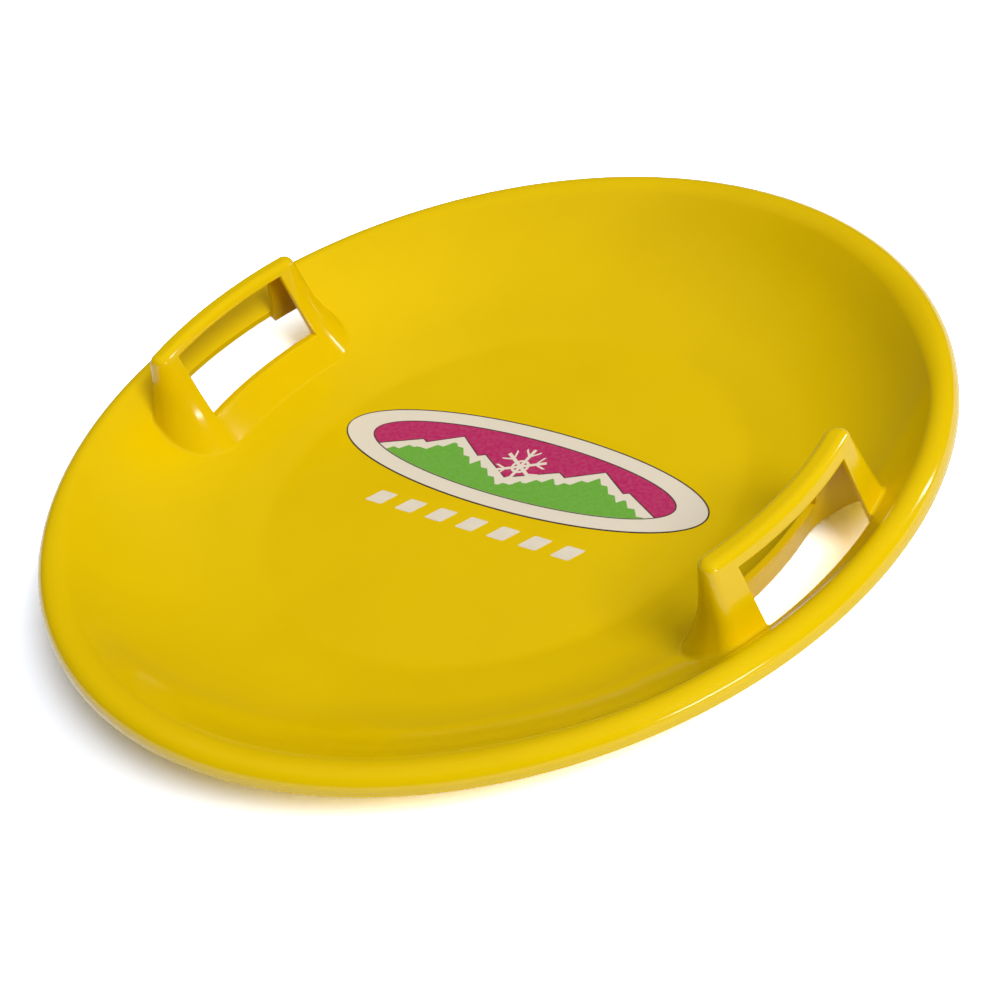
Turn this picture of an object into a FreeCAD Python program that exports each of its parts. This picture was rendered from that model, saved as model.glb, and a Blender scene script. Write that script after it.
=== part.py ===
import FreeCAD, Part
import math
import os

from FreeCAD import Vector

# Saucer sled: a round shell with a flat floor, a hollow wall, a rolled rim
# and two hollow grips that rise from the wall on opposite sides.
# Millimetres, +Z up. The origin is the middle of the floor's underside.

# Shell: widths are measured inwards from the outer edge
overall_diameter = 600.0
shell_wall = 3.0
floor_edge_round = 60.0
band_width = 32.0
band_slope_angle = 9.0
wall_width = 105.0

# Rolled rim
rim_roll_radius = 10.0
rim_crest_height = 53.5
rim_lip_length = 3.0

# Where the one moulding is divided into pieces
floor_seam_margin = 5.0
rim_seam_margin = 15.9
grip_zone_inner_margin = 12.1
grip_zone_end_margin = 19.2

# Grips: sizes at the flat top of the bar, then how the walls spread downwards
grip_top_height = 87.0
grip_edge_distance = 45.9
grip_bar_width = 13.2
grip_half_length = 66.9
grip_inner_draft_angle = 16.5
grip_outer_draft_angle = 15.5
grip_end_draft_angle = 10.5
grip_top_inner_corner = 6.6
grip_top_outer_corner = 6.2
grip_ground_inner_corner = 34.0
grip_ground_outer_corner = 14.0
bar_edge_radius = 6.1
bar_inside_edge_radius = 2.0

# Rounds at the foot of a grip
foot_inboard_round = 20.0
foot_end_round = 10.0
foot_outboard_round = 2.0
foot_end_share = 0.7

# Openings in the grips
window_length = 101.0
window_sill_height = 33.3
window_head_drop = 7.0
gap_head_drop = 9.5

# Printed films on the floor
film_thickness = 0.2
label_end_margin = 8.0
label_width = 81.0
label_centre_x = -4.5
label_centre_y = 23.4
label_turn_angle = 4.7
dash_count = 7
dash_length = 14.0
dash_height = 12.0
dash_slant = 6.0
dash_pitch = 26.0
dash_row_drop = 58.0
dash_row_shift = 5.0

# Cutting tools reach this far past what they cut; faces closer than touch meet
overrun = 5.0
touch = 0.001

outer_radius = overall_diameter / 2
band_outer_radius = outer_radius - wall_width
floor_radius = band_outer_radius - band_width
floor_seam_radius = floor_radius - floor_seam_margin
label_length = 2 * (floor_seam_radius - label_end_margin)
grip_outer_radius = outer_radius - grip_edge_distance
grip_inner_radius = grip_outer_radius - grip_bar_width
rim_seam_radius = grip_outer_radius + rim_seam_margin
window_head_height = grip_top_height - window_head_drop
gap_head_height = grip_top_height - gap_head_drop
axis_origin = Vector(0, 0, 0)
axis_up = Vector(0, 0, 1)
full_turn = 360.0
half_turn = full_turn / 2
eighth_turn = full_turn / 8


def point(radius, height):
    """A point of the shell's section."""
    return Vector(radius, 0, height)


def along(angle):
    """Unit direction in the section plane, climbing outwards at an angle."""
    return point(math.cos(math.radians(angle)), math.sin(math.radians(angle)))


def below(angle):
    """Unit normal on the underside of a line that climbs outwards at an angle."""
    return point(math.sin(math.radians(angle)), -math.cos(math.radians(angle)))


def bend(start, end, centre, radius, away):
    """Arc between two points, bulging from its centre in the direction away."""
    return Part.Arc(start, centre + away * radius, end).toShape()


def line(start, end):
    return Part.makeLine(start, end)


# Section of the upper face: floor, sloping band, hollow wall, roll and lip
floor_top = shell_wall
floor_corner = point(floor_radius, floor_top)
round_reach = floor_edge_round * math.tan(math.radians(band_slope_angle / 2))
flat_end = floor_corner - point(round_reach, 0)
band_start = floor_corner + along(band_slope_angle) * round_reach
round_centre = flat_end + point(0, floor_edge_round)
band_length = (band_outer_radius - floor_radius) / math.cos(math.radians(band_slope_angle))
band_end = floor_corner + along(band_slope_angle) * band_length
roll_centre = point(outer_radius - rim_roll_radius, rim_crest_height - rim_roll_radius)
roll_end = roll_centre + point(rim_roll_radius, 0)
lip_end = roll_end - point(0, rim_lip_length)

# The wall is one arc that leaves the band smoothly and runs smoothly into the roll
band_to_roll = roll_centre - band_end
band_up = below(band_slope_angle) * -1
wall_radius = (band_to_roll.Length ** 2 - rim_roll_radius ** 2) / (
    2 * (rim_roll_radius + band_up.dot(band_to_roll)))
wall_centre = band_end + band_up * wall_radius
wall_end_out = Vector(roll_centre - wall_centre).normalize()
wall_end_angle = math.degrees(math.atan2(wall_end_out.x, -wall_end_out.z))


def shell_edges(depth):
    """Section of the shell from the axis to the lip, at a depth below the upper face."""
    drop = point(0, -depth)
    rise_start = band_start + below(band_slope_angle) * depth
    rise_end = band_end + below(band_slope_angle) * depth
    wall_end = wall_centre + wall_end_out * (wall_radius + depth)
    side = roll_end - point(depth, 0)
    wall_middle_angle = (band_slope_angle + wall_end_angle) / 2
    return [
        line(point(0, floor_top) + drop, flat_end + drop),
        bend(flat_end + drop, rise_start, round_centre, floor_edge_round + depth, below(band_slope_angle / 2)),
        line(rise_start, rise_end),
        bend(rise_end, wall_end, wall_centre, wall_radius + depth, below(wall_middle_angle)),
        bend(wall_end, side, roll_centre, rim_roll_radius - depth, along(eighth_turn)),
        line(side, lip_end - point(depth, 0)),
    ]


def first_point(edges):
    return edges[0].Vertexes[0].Point


def last_point(edges):
    return edges[-1].Vertexes[-1].Point


def spun(edges):
    """Solid of revolution of a closed section."""
    face = Part.Face(Part.Wire(Part.__sortEdges__(edges)))
    return face.revolve(axis_origin, axis_up, full_turn)


def make_shell():
    """Floor, wall and rim as one thin round body, without the grips."""
    upper, lower = shell_edges(0), shell_edges(shell_wall)
    lip_face = line(last_point(upper), last_point(lower))
    middle = line(first_point(lower), first_point(upper))
    return spun(upper + lower + [lip_face, middle])


def space_under_shell():
    """Everything below the underside, out to the lip."""
    lower = shell_edges(shell_wall)
    ground = first_point(lower) - point(0, overrun)
    edge = point(last_point(lower).x, ground.z)
    return spun(lower + [line(last_point(lower), edge), line(edge, ground), line(ground, first_point(lower))])


# Grip sections: level cuts through the bump, wider towards the ground
def spread(angle, height):
    """How far a wall of the grip has moved out at a height."""
    return (grip_top_height - height) * math.tan(math.radians(angle))


def corner_at(top_radius, ground_radius, height):
    """Plan radius of a corner, growing evenly towards the ground."""
    drop_share = (grip_top_height - height) / grip_top_height
    return top_radius + (ground_radius - top_radius) * drop_share


def corner_centre(radius, half_length, corner):
    """Middle of a corner that touches an arc about the sled's axis and an end wall."""
    across = half_length - corner
    return Vector(math.sqrt(radius ** 2 - across ** 2), across, 0)


def mirrored(place):
    return Vector(place.x, -place.y, place.z)


def grip_section(height, inset):
    """Closed level outline of the bump, moved inwards by an inset."""
    inner = grip_inner_radius - spread(grip_inner_draft_angle, height)
    inner += inset / math.cos(math.radians(grip_inner_draft_angle))
    outer = grip_outer_radius + spread(grip_outer_draft_angle, height)
    outer -= inset / math.cos(math.radians(grip_outer_draft_angle))
    half = grip_half_length + spread(grip_end_draft_angle, height)
    half -= inset / math.cos(math.radians(grip_end_draft_angle))
    inner_corner = corner_at(grip_top_inner_corner, grip_ground_inner_corner, height) - inset
    outer_corner = corner_at(grip_top_outer_corner, grip_ground_outer_corner, height) - inset
    near = corner_centre(inner + inner_corner, half, inner_corner)
    far = corner_centre(outer - outer_corner, half, outer_corner)
    near_out, far_out = Vector(near).normalize(), Vector(far).normalize()
    end_out = Vector(0, 1, 0)
    near_mid, far_mid = (end_out - near_out).normalize(), (end_out + far_out).normalize()
    inner_end, outer_end = near_out * inner, far_out * outer
    near_end, far_end = near + end_out * inner_corner, far + end_out * outer_corner
    near_bulge, far_bulge = near + near_mid * inner_corner, far + far_mid * outer_corner
    inner_middle, outer_middle = Vector(inner, 0, 0), Vector(outer, 0, 0)
    edges = [
        Part.Arc(mirrored(inner_end), inner_middle, inner_end),
        Part.Arc(inner_end, near_bulge, near_end),
        Part.LineSegment(near_end, far_end),
        Part.Arc(far_end, far_bulge, outer_end),
        Part.Arc(outer_end, outer_middle, mirrored(outer_end)),
        Part.Arc(mirrored(outer_end), mirrored(far_bulge), mirrored(far_end)),
        Part.LineSegment(mirrored(far_end), mirrored(near_end)),
        Part.Arc(mirrored(near_end), mirrored(near_bulge), mirrored(inner_end)),
    ]
    outline = Part.Wire([edge.toShape() for edge in edges])
    outline.translate(Vector(0, 0, height))
    return outline


def bump(top_height, inset, edge_radius):
    """Tapered solid from the ground to the grip's top, with its top edge rounded."""
    body = Part.makeLoft([grip_section(0, inset), grip_section(top_height, inset)], True, True)
    top_face = max(body.Faces, key=lambda face: face.CenterOfMass.z)
    return body.makeFillet(edge_radius, top_face.Edges)


def ring_block(inside, outside, bottom, top):
    """Block with arc faces about the sled's axis, as long as the window."""
    ring = Part.makeCylinder(outside, top - bottom, point(0, bottom))
    ring = ring.cut(Part.makeCylinder(inside, top - bottom, point(0, bottom)))
    slab = Part.makeBox(outside, window_length, top - bottom, Vector(0, -window_length / 2, bottom))
    return ring.common(slab)


shell = make_shell()
upper_skin = Part.Wire(shell_edges(0)).revolve(axis_origin, axis_up, full_turn)
grip_block = bump(grip_top_height, 0, bar_edge_radius)
grip_skin = Part.Shell(grip_block.Faces)
grip_hollow = bump(grip_top_height - shell_wall, shell_wall, bar_inside_edge_radius)
grip_middle_radius = (grip_inner_radius + grip_outer_radius) / 2
grip_foot_radius = grip_inner_radius - spread(grip_inner_draft_angle, 0)
grip_foot_half_length = grip_half_length + spread(grip_end_draft_angle, 0)
grip_zone_inner_radius = grip_foot_radius - grip_zone_inner_margin
grip_zone_half_angle = math.degrees(math.atan2(
    grip_foot_half_length + grip_zone_end_margin, grip_inner_radius))
inboard_window = ring_block(
    grip_foot_radius - overrun, grip_middle_radius, window_sill_height, window_head_height)
outboard_gap = ring_block(grip_middle_radius, rim_seam_radius, -overrun, gap_head_height)


def column(radius):
    """Round tool about the sled's axis, taller than the sled."""
    return Part.makeCylinder(radius, grip_top_height + 2 * overrun, point(0, -overrun))


def make_grip_zone():
    """Sector of the wall that belongs to the right grip."""
    low, high = -overrun, grip_top_height + overrun
    corners = [
        point(grip_zone_inner_radius, low),
        point(rim_seam_radius, low),
        point(rim_seam_radius, high),
        point(grip_zone_inner_radius, high),
    ]
    face = Part.Face(Part.makePolygon(corners + corners[:1]))
    face.rotate(axis_origin, axis_up, -grip_zone_half_angle)
    return face.revolve(axis_origin, axis_up, 2 * grip_zone_half_angle)


within_rim_seam = column(rim_seam_radius)
within_band_seam = column(band_outer_radius)
within_floor_seam = column(floor_seam_radius)
grip_zone = make_grip_zone()


def touches(vertex, skin):
    return vertex.distToShape(skin)[0] < touch


def end_points(edge):
    return [edge.valueAt(edge.FirstParameter), edge.valueAt(edge.LastParameter)]


def foot_edges(body):
    """Numbered edges where the grip leaves the upper face of the shell."""
    numbered = []
    for number, edge in enumerate(body.Edges, 1):
        middle = Part.Vertex(edge.valueAt((edge.FirstParameter + edge.LastParameter) / 2))
        if touches(middle, grip_skin) and touches(middle, upper_skin):
            numbered.append((number, edge))
    return numbered


def foot_round(share):
    """Radius at the foot: large inboard, smaller at the ends, smallest beside the rim."""
    if share < foot_end_share:
        return foot_inboard_round + (foot_end_round - foot_inboard_round) * share / foot_end_share
    rest_share = (share - foot_end_share) / (1 - foot_end_share)
    return foot_end_round + (foot_outboard_round - foot_end_round) * rest_share


def rounded_foot(body):
    """Body with a round of changing radius where the grip leaves the shell."""
    numbered = foot_edges(body)
    reaches = [math.hypot(place.x, place.y) for _, edge in numbered for place in end_points(edge)]
    nearest, farthest = min(reaches), max(reaches)
    radii = []
    for number, edge in numbered:
        shares = [(math.hypot(place.x, place.y) - nearest) / (farthest - nearest) for place in end_points(edge)]
        radii.append((number, foot_round(shares[0]), foot_round(shares[1])))
    document = FreeCAD.newDocument("foot")
    source = document.addObject("Part::Feature", "source")
    source.Shape = body
    rounded = document.addObject("Part::Fillet", "rounded")
    rounded.Base = source
    rounded.Edges = radii
    document.recompute()
    return rounded.Shape


def turned(shape, angle):
    copy = shape.copy()
    copy.rotate(axis_origin, axis_up, angle)
    return copy


def make_grip():
    """Hollow bump on its piece of wall, with a bar between an inboard window and an outboard gap."""
    grip = rounded_foot(shell.fuse(grip_block))
    grip = grip.cut(space_under_shell()).cut(grip_hollow)
    grip = grip.cut(inboard_window).cut(outboard_gap)
    return grip.common(grip_zone)


def make_wall():
    """Ring between the sloping band and the rim, open where the grips stand."""
    wall = shell.common(within_rim_seam).cut(within_band_seam)
    for angle in (0, half_turn):
        wall = wall.cut(turned(grip_zone, angle))
    return wall


def on_floor(shape):
    """Place a film that was drawn about the label's middle."""
    shape.rotate(axis_origin, axis_up, label_turn_angle)
    shape.translate(Vector(label_centre_x, label_centre_y, floor_top))
    return shape


def make_label():
    """Oval printed film."""
    oval = Part.Ellipse(axis_origin, label_length / 2, label_width / 2).toShape()
    return on_floor(Part.Face(Part.Wire(oval)).extrude(axis_up * film_thickness))


def make_dashes():
    """Row of slanted film strips below the label."""
    dashes = []
    for index in range(dash_count):
        middle = (index - (dash_count - 1) / 2) * dash_pitch + dash_row_shift
        left = middle - (dash_length + dash_slant) / 2
        base = -dash_row_drop - dash_height / 2
        top = base + dash_height
        corners = [
            Vector(left, base, 0),
            Vector(left + dash_length, base, 0),
            Vector(left + dash_length + dash_slant, top, 0),
            Vector(left + dash_slant, top, 0),
        ]
        outline = Part.makePolygon(corners + corners[:1])
        dashes.append(Part.Face(outline).extrude(axis_up * film_thickness))
    return on_floor(Part.makeCompound(dashes))


right_grip = make_grip()
pieces = {
    "seat_floor": shell.common(within_floor_seam),
    "sloping_band": shell.common(within_band_seam).cut(within_floor_seam),
    "side_wall": make_wall(),
    "rolled_rim": shell.cut(within_rim_seam),
    "right_handle": right_grip,
    "left_handle": turned(right_grip, half_turn),
    "oval_label": make_label(),
    "stripe_decal": make_dashes(),
}

os.makedirs("parts", exist_ok=True)
for name, shape in pieces.items():
    shape.exportStep("parts/" + name + ".step")
    box = shape.BoundBox
    print(name, "solids", len(shape.Solids), "valid", shape.isValid(), "volume", round(shape.Volume))
    print("  z", round(box.ZMin, 2), round(box.ZMax, 2), "x", round(box.XMin, 2), round(box.XMax, 2))
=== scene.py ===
"""Saucer sled: a yellow moulded dish with a rolled rim, two hollow grips and printed films."""

import math
from functools import partialmethod

import bmesh
import bpy
from mathutils import Matrix, Vector


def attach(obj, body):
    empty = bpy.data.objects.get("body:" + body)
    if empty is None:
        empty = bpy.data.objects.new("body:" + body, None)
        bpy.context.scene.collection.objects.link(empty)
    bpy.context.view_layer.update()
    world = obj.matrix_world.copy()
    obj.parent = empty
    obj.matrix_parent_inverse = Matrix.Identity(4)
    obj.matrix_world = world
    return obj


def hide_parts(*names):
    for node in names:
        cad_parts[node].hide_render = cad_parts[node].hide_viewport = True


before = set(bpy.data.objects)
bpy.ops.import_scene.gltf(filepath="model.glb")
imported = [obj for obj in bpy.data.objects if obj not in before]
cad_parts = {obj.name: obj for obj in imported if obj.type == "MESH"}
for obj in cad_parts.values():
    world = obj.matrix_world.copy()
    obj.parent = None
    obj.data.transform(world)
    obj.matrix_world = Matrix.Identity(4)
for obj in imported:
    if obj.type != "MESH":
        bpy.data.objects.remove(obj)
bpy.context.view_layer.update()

bl_info = {
    "name": "Saucer sled",
    "version": (1, 0, 0),
    "blender": (4, 5, 0),
    "location": "View3D > Sidebar > Sled",
    "description": "Builds a moulded saucer sled and a plain studio around it",
    "category": "Add Mesh",
}

BODY = "root"
UP = Vector((0, 0, 1))
SHARP_ANGLE = math.radians(40)  # edges of the moulding and the films that stay crisp
SAME_SIDE = 0.8  # a face within this cosine of a known normal belongs to its skin
SEAM_REACH, EDGE_REACH = 1e-5, 1e-6  # points this close are one

# Studio, in metres: lamps as place and spread or size, camera as place and axes
FLOOR_REACH = 30.0
BRIGHT_SIDE = {"x": 0.3, "y": 0.95, "edge": -0.25, "soft": 0.08}
SKY_EDGE, SKY_SOFT = 0.12, 0.12
SUNS = {
    "key_light": {"place": (0.713, -0.1, 0.69), "spread": 24, "level": "key"},
    "top_light": {"place": (0.05, 0.15, 1.0), "spread": 100, "level": "top"},
}
PANELS = {
    "right_panel": {"place": (1.815, -0.321, 0.436), "width": 0.66, "height": 0.08},
    "back_panel": {"place": (1.072, 1.570, 0.671), "width": 0.08, "height": 0.45},
}
LIT_MIDDLE = UP * 0.03
CAMERA_PLACE = Vector((0.90989, -0.69191, 0.87007))
CAMERA_RIGHT = Vector((0.72372, 0.64541, -0.24431))
CAMERA_UP = Vector((-0.27489, 0.59433, 0.75578))
SENSOR_WIDTH, CLIP_START, CLIP_END = 36.0, 0.05, 50.0


def printed(red, green, blue):
    """Linear colour of a shade given as it looks on screen, from 0 to 255."""
    return tuple((value / 255) ** 2.2 for value in (red, green, blue))


def number(name, description, default, **limits):
    return bpy.props.FloatProperty(
        name=name, description=description, default=default, **{"min": 0, **limits})


def length(name, description, default):
    return number(name, description, default, subtype="DISTANCE", unit="LENGTH", precision=5)


def angle(name, description, degrees):
    return bpy.props.FloatProperty(
        name=name, description=description, default=math.radians(degrees),
        subtype="ANGLE", unit="ROTATION")


def colour(name, description, default):
    return bpy.props.FloatVectorProperty(
        name=name, description=description, default=default,
        size=3, min=0, max=1, subtype="COLOR")


class SledShape(bpy.types.PropertyGroup):
    """Sizes of the round shell."""

    outer_radius: length("Outer radius", "From the axis to the lip", 0.3)
    thickness: length("Thickness", "Wall of the moulding", 0.003)
    floor_radius: length("Floor radius", "Where the flat floor meets the sloping band", 0.163)
    floor_round: length("Floor round", "Radius of the soft ring at the floor's edge", 0.06)
    band_radius: length("Band radius", "Where the sloping band meets the wall", 0.195)
    band_slope: angle("Band slope", "Climb of the sloping band", 9)
    roll_radius: length("Roll radius", "Outside radius of the rolled rim", 0.01)
    crest_height: length("Crest height", "Top of the rolled rim above the ground", 0.0535)
    lip_length: length("Lip length", "Straight end of the rim below its roll", 0.003)
    firm_slope: angle("Firm slope", "Steepest climb of the wall beside the grips", 42.7)
    soft_slope: angle("Soft slope", "Steepest climb of the wall away from the grips", 38.5)
    soft_roll: length("Soft roll", "Inside radius of the roll away from the grips", 0.02)
    soft_start: angle("Soft start", "Angle from a grip's middle where the fuller roll begins", 28)
    soft_end: angle("Soft end", "Angle from a grip's middle where the fuller roll is whole", 52)
    floor_seam: length("Floor seam", "Outer radius of the floor piece", 0.158)
    rim_seam: length("Rim seam", "Inner radius of the rim piece", 0.27)
    grip_zone_radius: length("Grip zone radius", "Inner radius of the wall that belongs to a grip", 0.203)
    grip_zone_angle: angle("Grip zone angle", "Half angle of the wall that belongs to a grip", 27)
    turn_steps: bpy.props.IntProperty(
        name="Steps", description="Faces around the dish", default=360, min=24)


class GripShape(bpy.types.PropertyGroup):
    """Sizes of a grip, the same on both sides."""

    top_height: length("Top height", "Top of the bar above the ground", 0.087)
    bar_inner: length("Bar inner radius", "Inboard edge of the flat top, from the axis", 0.2409)
    bar_outer: length("Bar outer radius", "Outboard edge of the flat top, from the axis", 0.2541)
    half_length: length("Half length", "Half the length of the flat top", 0.0669)
    inner_draft: angle("Inboard draft", "Lean of the inboard wall", 16.5)
    outer_draft: angle("Outboard draft", "Lean of the outboard wall", 15.5)
    end_draft: angle("End draft", "Lean of the end walls", 10.5)
    top_inner_corner: length("Top inboard corner", "Plan radius at the top, inboard", 0.0066)
    top_outer_corner: length("Top outboard corner", "Plan radius at the top, outboard", 0.0062)
    ground_inner_corner: length("Ground inboard corner", "Plan radius at ground level, inboard", 0.037)
    ground_outer_corner: length("Ground outboard corner", "Plan radius at ground level, outboard", 0.014)
    bar_round: length("Bar round", "Round along the top of the bar", 0.0061)
    inside_round: length("Inside round", "Round under the top of the bar", 0.002)
    flare_height: length("Flare height", "Where the walls begin to spread towards the foot", 0.06)
    flare_inboard: length("Inboard flare", "Spread of the inboard wall at ground level", 0.012)
    flare_end: length("End flare", "Spread of the end walls at ground level", 0.012)
    foot_inboard: length("Inboard foot round", "Round where the grip leaves the wall, inboard", 0.004)
    foot_end: length("End foot round", "Round where the grip leaves the wall, at its ends", 0.004)
    foot_outboard: length("Outboard foot round", "Round beside the rim", 0.002)
    foot_end_share: number("End share", "How far across the foot the end round sits", 0.7, max=1)
    window_half: length("Window half length", "Half the length of the hand opening", 0.0505)
    sill_height: length("Sill height", "Lower edge of the inboard window", 0.0328)
    head_height: length("Head height", "Upper edge of the inboard window", 0.08)
    gap_height: length("Gap height", "Upper edge of the outboard gap", 0.0775)
    cut_edge: length("Cut edge", "Small round on the edges of the openings", 0.0008)


class FilmShape(bpy.types.PropertyGroup):
    """Sizes of the printed films on the floor."""

    thickness: length("Film thickness", "Thickness of the printed film", 0.0002)
    label_length: length("Label length", "Long axis of the oval", 0.3)
    label_width: length("Label width", "Short axis of the oval", 0.081)
    centre: bpy.props.FloatVectorProperty(
        name="Label middle", description="Middle of the oval on the floor",
        default=(-0.0045, 0.0234), size=2, subtype="TRANSLATION", unit="LENGTH")
    turn: angle("Label turn", "How far the print is turned on the floor", 4.7)
    dash_count: bpy.props.IntProperty(
        name="Dashes", description="Number of dashes in the row", default=7, min=1)
    dash_length: length("Dash length", "Length of a dash", 0.014)
    dash_height: length("Dash height", "Height of a dash", 0.012)
    dash_slant: length("Dash slant", "How far a dash leans", 0.006)
    dash_pitch: length("Dash pitch", "Distance between dashes", 0.026)
    row_drop: length("Row drop", "How far the row lies below the oval's middle", 0.058)
    row_shift: length("Row shift", "How far the row lies to the right", 0.005)
    dash_corner: length("Dash corner", "Round on the corners of a dash", 0.0012)


class SledFinish(bpy.types.PropertyGroup):
    """Colours of the plastic and of the print."""

    plastic: colour("Plastic", "Colour of the moulding", printed(230, 192, 0))
    # Painted bounce light: a deeper orange for the inner skin of the hollow grips, standing in for light
    # bounced around inside them and glowing through the thin plastic.
    painted_bounce: colour("Inner glow", "Plastic inside the hollow grips", printed(232, 186, 0))
    scuff: colour("Scuffs", "Plastic where it is worn", printed(250, 226, 90))
    cream: colour("Cream", "Ground colour of the films", printed(232, 220, 198))
    berry: colour("Berry", "Inner field of the label", printed(186, 12, 92))
    leaf: colour("Leaf", "Hills on the label", printed(104, 172, 48))
    ink: colour("Ink", "Thin outlines on the label", printed(52, 26, 20))
    haze: colour("Haze", "Pale speckles in the print", printed(255, 250, 240))
    gloss: number("Roughness", "Mean roughness of the plastic", 0.13, max=1)
    plastic_index: number("Plastic IOR", "How strongly the plastic reflects", 1.46, min=1)
    film_index: number("Film IOR", "How strongly the films reflect", 1.48, min=1)


class StageLook(bpy.types.PropertyGroup):
    """Light, floor and camera."""

    floor_colour: colour("Floor", "Colour of the studio floor", (0.85, 0.88, 0.95))
    floor_lift: number("Floor lift", "How much paler the floor looks than it is", 1.3, min=1)
    floor_glare: number("Floor glare", "How much paler the camera sees its bright side", 3.0, min=1)
    horizon: number("Horizon", "Strength of the world at eye level", 0.05)
    ceiling: number("Ceiling", "Strength of the world overhead", 0.03)
    key: number("Key", "Strength of the light from the right", 2.2)
    top: number("Top", "Strength of the soft light overhead", 1.45)
    gleam: number("Gleam", "Brightness of the two panels that show in the gloss", 40)
    focal: number("Focal length", "Lens of the camera", 79.2, min=1, unit="CAMERA")


def pick(sockets, key):
    """Socket by number, or the first one in use that has a name."""
    if isinstance(key, int):
        return sockets[key]
    return next(socket for socket in sockets if socket.name == key and socket.enabled)


class Wire:
    """One output of a node; arithmetic on it adds Math nodes."""

    def __init__(self, net, socket):
        self.net = net
        self.socket = socket

    def output(self, key):
        """Another output of the same node."""
        return Wire(self.net, pick(self.socket.node.outputs, key))

    def maths(self, operation, *others):
        """Math node with this value first."""
        return self.net.maths(operation, self, *others)

    def after(self, operation, other):
        """Math node with this value second."""
        return self.net.maths(operation, other, self)

    __add__ = partialmethod(maths, "ADD")
    __radd__ = partialmethod(after, "ADD")
    __sub__ = partialmethod(maths, "SUBTRACT")
    __rsub__ = partialmethod(after, "SUBTRACT")
    __mul__ = partialmethod(maths, "MULTIPLY")
    __rmul__ = partialmethod(after, "MULTIPLY")
    __truediv__ = partialmethod(maths, "DIVIDE")
    __pow__ = partialmethod(maths, "POWER")
    __abs__ = partialmethod(maths, "ABSOLUTE")
    __lt__ = partialmethod(maths, "LESS_THAN")
    __gt__ = partialmethod(maths, "GREATER_THAN")
    highest = partialmethod(maths, "MAXIMUM")


class Net:
    """A node tree that is written as expressions."""

    def __init__(self, tree):
        self.tree = tree

    def node(self, kind, settings=None, sockets=None, out=0):
        """Add a node: its settings first, then the values or links of its sockets."""
        node = self.tree.nodes.new(kind)
        for name, value in (settings or {}).items():
            setattr(node, name, value)
        for key, value in (sockets or {}).items():
            socket = pick(node.inputs, key)
            for item in value if isinstance(value, list) else [value]:
                if isinstance(item, Wire):
                    self.tree.links.new(item.socket, socket)
                else:
                    socket.default_value = item
        return Wire(self, pick(node.outputs, out)) if len(node.outputs) else node

    def maths(self, operation, *terms):
        return self.node("ShaderNodeMath", {"operation": operation}, dict(enumerate(terms)))

    def split(self, vector):
        parts = self.node("ShaderNodeSeparateXYZ", None, {0: vector})
        return parts, parts.output("Y"), parts.output("Z")

    def blend(self, factor, low, high):
        """Colour that goes from low to high with a factor."""
        low, high = (tone if isinstance(tone, Wire) else (*tone[:3], 1) for tone in (low, high))
        return self.mix("RGBA", factor, low, high)

    def mix(self, kind, factor, low, high):
        values = {"Factor": factor, "A": low, "B": high}
        return self.node("ShaderNodeMix", {"data_type": kind}, values, "Result")


def step(value, edge, soft):
    """Goes from 0 to 1 as a value passes an edge, over a soft width."""
    return value.net.node(
        "ShaderNodeMapRange", {"interpolation_type": "SMOOTHSTEP"},
        {"Value": value, "From Min": edge - soft, "From Max": edge + soft})


# Section of the shell: places as (radius, height) in the section plane
def facing(slope):
    """Direction that an upper face with a slope looks to."""
    return Vector((-math.sin(slope), math.cos(slope)))


def upright(flat):
    """Section place as a point of the sled in the plane of the right grip."""
    return Vector((flat.x, 0, flat.y))


def part_way(low, high, share):
    return low + (high - low) * share


def shares(count, low=0.0, high=1.0):
    """Evenly spaced values after low, up to high."""
    return [part_way(low, high, index / count) for index in range(1, count + 1)]


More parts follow.
